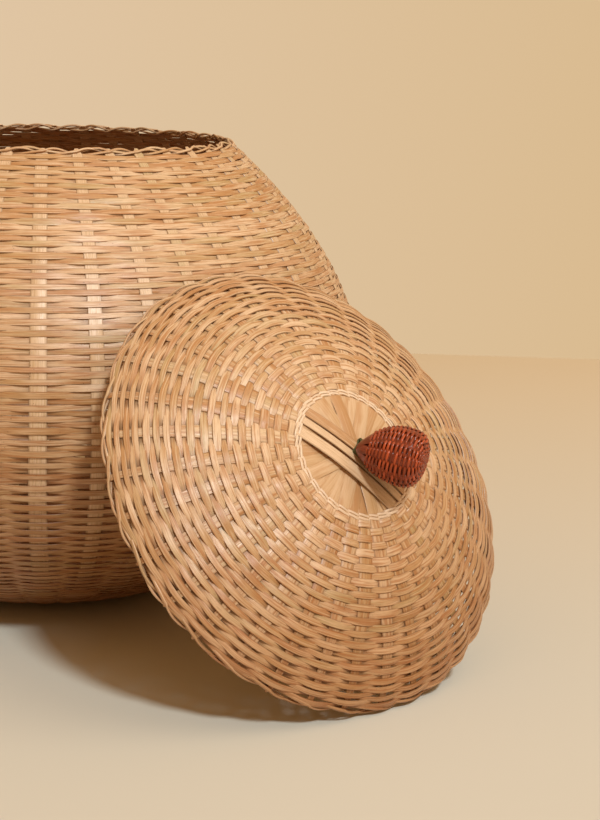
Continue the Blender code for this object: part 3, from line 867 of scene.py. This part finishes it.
def lay_border(name, wall, scallop, swing, seed):
    """Three thin border strands, laid one step finer than the courses."""
    lie = border_lie(wall, 0.0008, scallop, swing, 0.0016, seed)
    return weave_rings(name, wall, 3, BORDER_STEPS * wall.stakes, lie, squareness=0.8,
                       splint_length=0.3, seed=seed + 1)


class BASKET_OT_mouth_border(bpy.types.Operator):
    """Twist the thin border strands round the stake tips at the mouth"""
    bl_idname = "basket.mouth_border"
    bl_label = "Mouth border"

    def execute(self, context):
        wall = body_wall(context.scene.body_sizes)
        mesh = lay_border("mouth_strands", wall, scallop=0.0026, swing=0.0013, seed=41)
        put(mesh, "basket", "straw", palm(context, "straw courses"), "mouth_border_a",
            "mouth_border_b")
        return {"FINISHED"}


def cross_strips(name, radius, surface, count, width, rise, shingle, matrix, turn, seed,
                 warm_halves=None):
    """Flat splints that cross in the middle, each lying a little higher than the one before, with
    one edge under the next.
    """
    rng = np.random.default_rng(seed)
    widths = rng.uniform(0.90, 1.15, count)
    order = rng.permutation(count)

    def place(bar, run, across, out):
        way = run * 2 - 1
        x = way * radius
        y = across * width / 2 * widths[bar]
        middle = 1 - np.clip((x ** 2 + y ** 2) / radius ** 2, 0, 1) ** 2
        z = surface(np.hypot(x, y)) + rise * (order[bar] + 0.5) / count * middle
        z = z + out * 0.0002 - shingle * across * np.clip(3 * way, -1, 1) * (1 - middle)
        return turned_about(turn + bar * math.pi / count, x, y, z)

    return lay_bars(name, count, 24, place, 2 * radius, matrix, seed, warm_halves)


def turned_about(angle, x, y, z):
    """Points turned about the Z axis."""
    return np.column_stack((x * np.cos(angle) - y * np.sin(angle),
                            x * np.sin(angle) + y * np.cos(angle), z))


class BASKET_OT_base_middle(bpy.types.Operator):
    """Cross the splints in the middle of the bottom and twine them"""
    bl_idname = "basket.base_middle"
    bl_label = "Middle of the bottom"

    def execute(self, context):
        wall = body_wall(context.scene.body_sizes)
        mesh = cross_strips("base_splints", 0.0345, lambda radius: np.full_like(radius, 0.00125),
                            wall.stakes // 2, width=0.0066, rise=-0.0008, shingle=-0.0002,
                            matrix=wall.matrix, turn=0.0, seed=51)
        put(mesh, "basket", "tan_splint", palm(context, "tan splints"), "base_cross")
        mesh = twined_rings("base_raffia", wall, -0.0033, 52)
        put(mesh, "basket", "raffia", palm(context, "raffia strands"), "base_twining_a",
            "base_twining_b")
        return {"FINISHED"}


def twined_rings(name, wall, start, seed, lift=np.zeros_like):
    """Two rounds of raffia, each of two strands that cross between every two stakes. They lie
    higher where lift says so, for an angle.
    """
    bends = chances(seed, 4, wall.stakes, 0.00015)

    def lie(row, angle):
        sense = np.where(row % 2, -1, 1)
        crossing = wall.stakes / 2 * angle
        along = start + 0.0019 * (row // 2) + sense * 0.00040 * np.sin(crossing)
        depth = sense * 0.00050 * np.cos(crossing) + lift(angle)
        width = np.where(row < 2, 0.0014, 0.0016)
        thickness = np.full_like(angle, 0.00045)
        return along + eased(bends, row, angle), depth, width, thickness, 0 * angle

    return weave_rings(name, wall, 4, COURSE_STEPS * wall.stakes, lie, squareness=0.7,
                       splint_length=0.12, seed=seed)


class BASKET_OT_lid_courses(bpy.types.Operator):
    """Weave the lid's courses, flat near the middle and thin and round near the rim"""
    bl_idname = "basket.lid_courses"
    bl_label = "Lid courses"

    def execute(self, context):
        sizes = context.scene.lid_sizes
        wall = lid_wall(sizes)
        start = wall.along_at(sizes.start_radius)
        places, pitches = course_places(start, wall.reach - 0.0008, sizes.pitch, sizes.rim_pitch,
                                        uneven=0.14, seed=6)
        rows = len(places)
        shifts, widths, depths, tilts = course_chances(61, rows, sizes.stakes, 0.00022, 0.09,
                                                       0.00014, 0.15)

        def lie(row, angle):
            over = over_under(sizes.stakes, row, angle)
            along = places[row]
            outward = np.clip((along - start) / (wall.reach - start), 0, 1)
            thin = outward ** 1.6
            over = np.sign(over) * np.abs(over) ** (1 + 1.1 * outward)
            along = along + eased(shifts, row, angle) * (1 + 1.5 * thin) + 0.0004 * thin * over
            closed = closing(over, behind=0.30, between=0.12, above=0.05 + 0.27 * outward)
            width = pitches[row] * (1.04 + 0.08 * thin + closed) * (1 + eased(widths, row, angle))
            depth = (0.00076 + 0.00034 * thin) * over + eased(depths, row, angle)
            thickness = 0.00048 + 0.00050 * thin
            return along, depth, width, thickness, eased(tilts, row, angle)

        mesh = weave_rings("lid_courses", wall, rows, COURSE_STEPS * sizes.stakes, lie,
                           squareness=0.3, splint_length=0.33, seed=65, crown=0.00012,
                           recess=(0.45, 1.0))
        put(mesh, "lid", "straw", palm(context, "straw courses"), "lid_weave")
        return {"FINISHED"}


class BASKET_OT_lid_stakes(bpy.types.Operator):
    """Lay the lid's stakes, which fan out from its middle"""
    bl_idname = "basket.lid_stakes"
    bl_label = "Lid stakes"

    def execute(self, context):
        sizes = context.scene.lid_sizes
        wall = lid_wall(sizes)
        start = wall.along_at(sizes.cross_radius) + 0.0006
        mesh = lay_stakes("lid_splints", wall, start, wall.reach + STAKE_TIP, width=0.0084,
                          neck_width=0.0056, rim_width=0.0030, thickness=0.0006, cuts=60)
        put(mesh, "lid", "pale_straw", palm(context, "straw courses"), "lid_stakes")
        return {"FINISHED"}


class BASKET_OT_lid_border(bpy.types.Operator):
    """Twist the thin border strands round the stake tips of the lid"""
    bl_idname = "basket.lid_border"
    bl_label = "Lid border"

    def execute(self, context):
        wall = lid_wall(context.scene.lid_sizes)
        mesh = lay_border("lid_strands", wall, scallop=0.0024, swing=0.0015, seed=71)
        put(mesh, "lid", "straw", palm(context, "straw courses"), "lid_border_a", "lid_border_b")
        return {"FINISHED"}


class BASKET_OT_lid_middle(bpy.types.Operator):
    """Cross the splints in the lid's middle and twine them with raffia"""
    bl_idname = "basket.lid_middle"
    bl_label = "Middle of the lid"

    def execute(self, context):
        sizes = context.scene.lid_sizes
        wall = lid_wall(sizes)
        level = dome_height(sizes, sizes.cross_radius)

        def surface(radius):
            """Flatter than the dome, and sunk a little below it."""
            return 0.6 * level + 0.4 * dome_height(sizes, radius) - 0.0011

        def lift(angle):
            """Up over the ends of the straps."""
            ends = np.radians((116, 124, 160, 168, 276, 284, 316, 324))
            return np.interp(angle, ends, (0, 0.0008, 0.0008, 0, 0, 0.0008, 0.0008, 0))

        mesh = cross_strips("lid_middle_splints", sizes.cross_radius + 0.003, surface,
                            sizes.stakes // 2, width=0.0080, rise=0.0013, shingle=0.00018,
                            matrix=wall.matrix, turn=0.009, seed=81,
                            warm_halves={16: 1, 8: 1, 6: -1, 4: 1, 7: -1})
        put(mesh, "lid", "tan_splint", palm(context, "middle splints"), "lid_cross")
        start = wall.along_at(sizes.cross_radius) + 0.0014
        mesh = twined_rings("lid_raffia", wall, start, 82, lift)
        put(mesh, "lid", "raffia", palm(context, "raffia strands"), "lid_twining_a",
            "lid_twining_b")
        return {"FINISHED"}


class BASKET_OT_lid_straps(bpy.types.Operator):
    """Lay the three flat straps across the lid's middle"""
    bl_idname = "basket.lid_straps"
    bl_label = "Straps"

    def execute(self, context):
        sizes = context.scene.lid_sizes
        wall = lid_wall(sizes)
        seat = dome_height(sizes, sizes.cross_radius)
        for seed, (name, node_name, slot, finish, width, side) in enumerate(STRAPS, 91):
            reach = math.sqrt(sizes.cross_radius ** 2 - side ** 2)

            def place(bar, run, across, out):
                way = (run * 2 - 1) * STRAP_REACH
                y = side + across * width / 2 + 0.0002 * np.sin(5 * run + side * 900)
                z = seat + STRAP_BOW * (1 - way ** 2) + out * STRAP_THICKNESS / 2
                z = z + 0.0002 * across * np.sin(4 * run + side * 700)
                return turned_about(STRAP_TURN, way * reach, y, z)

            mesh = lay_bars(name, 1, 28, place, 2 * reach, wall.matrix, seed)
            put(mesh, "lid", slot, palm(context, finish), node_name)
        return {"FINISHED"}


class BASKET_OT_knob_cover(bpy.types.Operator):
    """Weave the knob's ribs and its courses of thin round cane"""
    bl_idname = "basket.knob_cover"
    bl_label = "Knob"

    def execute(self, context):
        sizes = context.scene.knob_sizes
        wall = knob_wall(sizes, lid_wall(context.scene.lid_sizes))
        mesh = lay_stakes("knob_cane_ribs", wall, 0.0, wall.reach - 0.0006, width=0.0046,
                          neck_width=0.0027, rim_width=0.0008, thickness=0.0011, cuts=60)
        put(mesh, "knob", "dark_red_cane", cane(context, "dark red cane", 0.6), "knob_ribs")
        start = float(np.interp(sizes.cover, wall.points[:, 1], wall.along))
        places = course_places(start, wall.reach - 0.0012, sizes.pitch, sizes.pitch,
                               uneven=0.08, seed=7)[0]
        shifts = chances(101, len(places), sizes.ribs, 0.00007)
        end = int(np.searchsorted(wall.ray(places)[1], sizes.end_height))

        def lie(row, angle):
            over = over_under(sizes.columns, row, angle)
            along = places[row] + eased(shifts, row, angle)
            swing = np.clip(wall.ray(places[row])[0] / 0.010, 0.15, 1)
            plump = 0.5 + 0.5 * over
            width = sizes.pitch * (0.96 + 0.42 * plump * swing)
            thickness = sizes.pitch * (0.80 + 0.30 * plump)
            return along, 0.00058 * swing * over, width, thickness, 0 * angle

        for name, node_name, first, last, seed in (
                ("knob_cane_courses", "knob_weave", 0, end, 102),
                ("knob_cane_end", "knob_end_cap", end, len(places), 103)):
            mesh = weave_rings(name, wall, last - first, 10 * sizes.columns,
                               lambda row, angle: lie(row + first, angle), squareness=0.9,
                               splint_length=0.09, seed=seed)
            put(mesh, "knob", "red_cane", cane(context), node_name)
        return {"FINISHED"}


class BASKET_OT_knob_thread(bpy.types.Operator):
    """Tie the knob to the upper strap with green thread"""
    bl_idname = "basket.knob_thread"
    bl_label = "Thread"

    def execute(self, context):
        sizes = context.scene.lid_sizes
        wall = lid_wall(sizes)
        seat = dome_height(sizes, sizes.cross_radius) + 0.0009 + STRAP_BOW
        width, strap_side = STRAPS[0][-2:]
        half = width / 2 + 0.0018
        curve = bpy.data.curves.new("thread_wraps", "CURVE")
        curve.dimensions = "3D"
        curve.bevel_depth = THREAD_RADIUS
        curve.bevel_resolution = 2
        turn = Matrix.Rotation(STRAP_TURN, 4, "Z")
        for wrap in range(THREAD_WRAPS):
            shift = THREAD_PLACE + THREAD_PITCH * (wrap - THREAD_WRAPS // 2)
            peak = 0.0028 + 0.0003 * (wrap % 2)
            outline = ((-half, -0.0010), (0, -0.0012), (half, -0.0010), (half, 0.0008),
                       (half * 0.35, peak), (-half * 0.35, peak), (-half, 0.0008))
            spline = curve.splines.new("NURBS")
            spline.points.add(len(outline) - 1)
            for point, (side, height) in zip(spline.points, outline):
                gather = 1 - 0.75 * np.clip(height / 0.003, 0, 1)
                along = THREAD_KNOT + (shift - THREAD_KNOT) * gather
                place = turn @ Vector((along, strap_side + side, seat + height))
                point.co = (*(wall.matrix @ place), 1)
            spline.use_cyclic_u = True
            spline.order_u = 3
            spline.resolution_u = 4
        put(curve, "lid", "green_thread", thread(context), "thread_tie")
        return {"FINISHED"}


class BASKET_OT_stage(bpy.types.Operator):
    """Lay the pale floor and set the soft lights and the camera"""
    bl_idname = "basket.stage"
    bl_label = "Stage"

    def execute(self, context):
        settings = context.scene.stage_settings
        camera = self.set_camera(context)
        across, _, back = camera.rotation_euler.to_matrix().col
        self.lay_floor(context, settings, -back)
        self.set_world(context, settings, across)
        self.add_lamp(context, "key light", settings.key, KEY_TINT, KEY_WIDTH,
                      settings.distance, KEY_TURN, KEY_RISE)
        self.add_lamp(context, "side light", settings.side, SIDE_TINT, SIDE_WIDTH,
                      SIDE_DISTANCE, SIDE_TURN, SIDE_RISE)
        context.scene.view_settings.view_transform = "Standard"
        return {"FINISHED"}

    def lay_floor(self, context, settings, ahead):
        """A sheet whose colour changes slowly from the camera to the back."""
        bm = bmesh.new()
        bmesh.ops.create_grid(bm, x_segments=2, y_segments=2, size=1)
        bmesh.ops.scale(bm, vec=FLOOR_HALF_SIZES, verts=bm.verts)
        bmesh.ops.translate(bm, vec=(0, FLOOR_BACK - FLOOR_HALF_SIZES[1], 0), verts=bm.verts)
        bmesh.ops.rotate(bm, cent=(0, 0, 0), matrix=Matrix.Rotation(FLOOR_TURN, 3, "Z"),
                         verts=bm.verts)
        mesh = bpy.data.meshes.new("floor")
        bm.to_mesh(mesh)
        bm.free()
        floor = bpy.data.objects.new("floor", mesh)
        context.scene.collection.objects.link(floor)
        material, tree, shader = new_material("floor paper")
        place = node(tree, "ShaderNodeTexCoord").outputs["Object"]
        cloud = noise(tree, place, (3, 3, 3), 2.0)
        level = Vector((ahead.x, ahead.y, 0)).normalized()
        tint = mix(tree, spread(tree, dot(tree, place, level), -0.2, 0.8), (*settings.floor, 1),
                   (*settings.floor_end, 1))
        deeper = mix(tree, 1.0, tint, (0.97, 0.97, 0.97, 1), "MULTIPLY")
        feed(tree, shader.inputs["Base Color"], mix(tree, cloud, tint, deeper))
        shader.inputs["Roughness"].default_value = 0.9
        shader.inputs["Specular IOR Level"].default_value = 0.15
        mesh.materials.append(material)

    def set_world(self, context, settings, across):
        """Warm light from all round, and the backdrop where it is seen or mirrored."""
        world = context.scene.world or bpy.data.worlds.new("studio")
        context.scene.world = world
        world.use_nodes = True
        tree = world.node_tree
        tree.nodes.clear()
        leave = tree.nodes.new("ShaderNodeOutputWorld")
        paths = tree.nodes.new("ShaderNodeLightPath").outputs
        seen = maths(tree, "MAXIMUM", paths["Is Camera Ray"], paths["Is Glossy Ray"])
        seen = maths(tree, "MAXIMUM", seen, paths["Is Transmission Ray"])
        way = node(tree, "ShaderNodeTexCoord").outputs["Generated"]
        rise = spread(tree, split(tree, way)[2], 0, 1, 0.85, 1.4)
        light = node(tree, "ShaderNodeBackground",
                     {"Color": (*FILL_TINT, 1), "Strength": multiply(tree, rise, settings.fill)})
        shade = mix(tree, spread(tree, dot(tree, way, across), -0.16, 0.16),
                    (*settings.backdrop, 1), (*settings.backdrop_end, 1))
        back = node(tree, "ShaderNodeBackground", {"Color": shade, "Strength": 1.0})
        both = node(tree, "ShaderNodeMixShader", {0: seen, 1: light.outputs[0],
                                                  2: back.outputs[0]})
        feed(tree, leave.inputs[0], both.outputs[0])

    def add_lamp(self, context, name, watts, tint, width, distance, turn, rise):
        """A round soft light, as wide as a share of its distance from the basket."""
        lamp = bpy.data.lights.new(name, "AREA")
        lamp.shape = "DISK"
        lamp.size = width * distance
        lamp.energy = watts
        lamp.color = tint
        item = bpy.data.objects.new(name, lamp)
        turn, rise = math.radians(turn), math.radians(rise)
        way = Vector((math.cos(rise) * math.cos(turn), math.cos(rise) * math.sin(turn),
                      math.sin(rise)))
        item.location = Vector(LIT_PLACE) + distance * way
        item.rotation_euler = way.to_track_quat("Z", "Y").to_euler()
        context.scene.collection.objects.link(item)

    def set_camera(self, context):
        camera = bpy.data.cameras.new("camera")
        camera.sensor_fit = "VERTICAL"
        camera.sensor_height = SENSOR
        camera.lens = SENSOR * FOCAL_PIXELS / FRAME_HEIGHT
        item = bpy.data.objects.new("camera", camera)
        item.rotation_euler = [math.radians(turn) for turn in CAMERA_TURNS]
        item.location = CAMERA_PLACE
        context.scene.collection.objects.link(item)
        context.scene.camera = item
        return item


class BASKET_PT_sidebar(bpy.types.Panel):
    """Sizes, colours and the steps that weave the basket"""
    bl_idname = "BASKET_PT_sidebar"
    bl_label = "Palm basket"
    bl_space_type = "VIEW_3D"
    bl_region_type = "UI"
    bl_category = "Basket"

    def draw(self, context):
        for name in SETTINGS:
            box = self.layout.box()
            settings = getattr(context.scene, name)
            for key in settings.bl_rna.properties.keys():
                if key not in ("rna_type", "name"):
                    box.prop(settings, key)
        for step in STEPS:
            self.layout.operator(step.bl_idname)


SETTINGS = {"body_sizes": BodySizes, "lid_sizes": LidSizes, "knob_sizes": KnobSizes,
            "splint_colours": SplintColours, "stage_settings": StageSettings}
STEPS = (BASKET_OT_stage, BASKET_OT_base_middle, BASKET_OT_body_stakes, BASKET_OT_body_courses,
         BASKET_OT_mouth_border, BASKET_OT_lid_middle, BASKET_OT_lid_stakes, BASKET_OT_lid_courses,
         BASKET_OT_lid_border, BASKET_OT_lid_straps, BASKET_OT_knob_cover, BASKET_OT_knob_thread)


def register():
    for group in SETTINGS.values():
        bpy.utils.register_class(group)
    for item in (*STEPS, BASKET_PT_sidebar):
        bpy.utils.register_class(item)
    for name, group in SETTINGS.items():
        setattr(bpy.types.Scene, name, PointerProperty(type=group))


def unregister():
    for name in SETTINGS:
        delattr(bpy.types.Scene, name)
    for item in (BASKET_PT_sidebar, *reversed(STEPS), *SETTINGS.values()):
        bpy.utils.unregister_class(item)


def main():
    register()
    for step in STEPS:
        group, action = step.bl_idname.split(".")
        getattr(getattr(bpy.ops, group), action)()


if __name__ == "__main__":
    main()
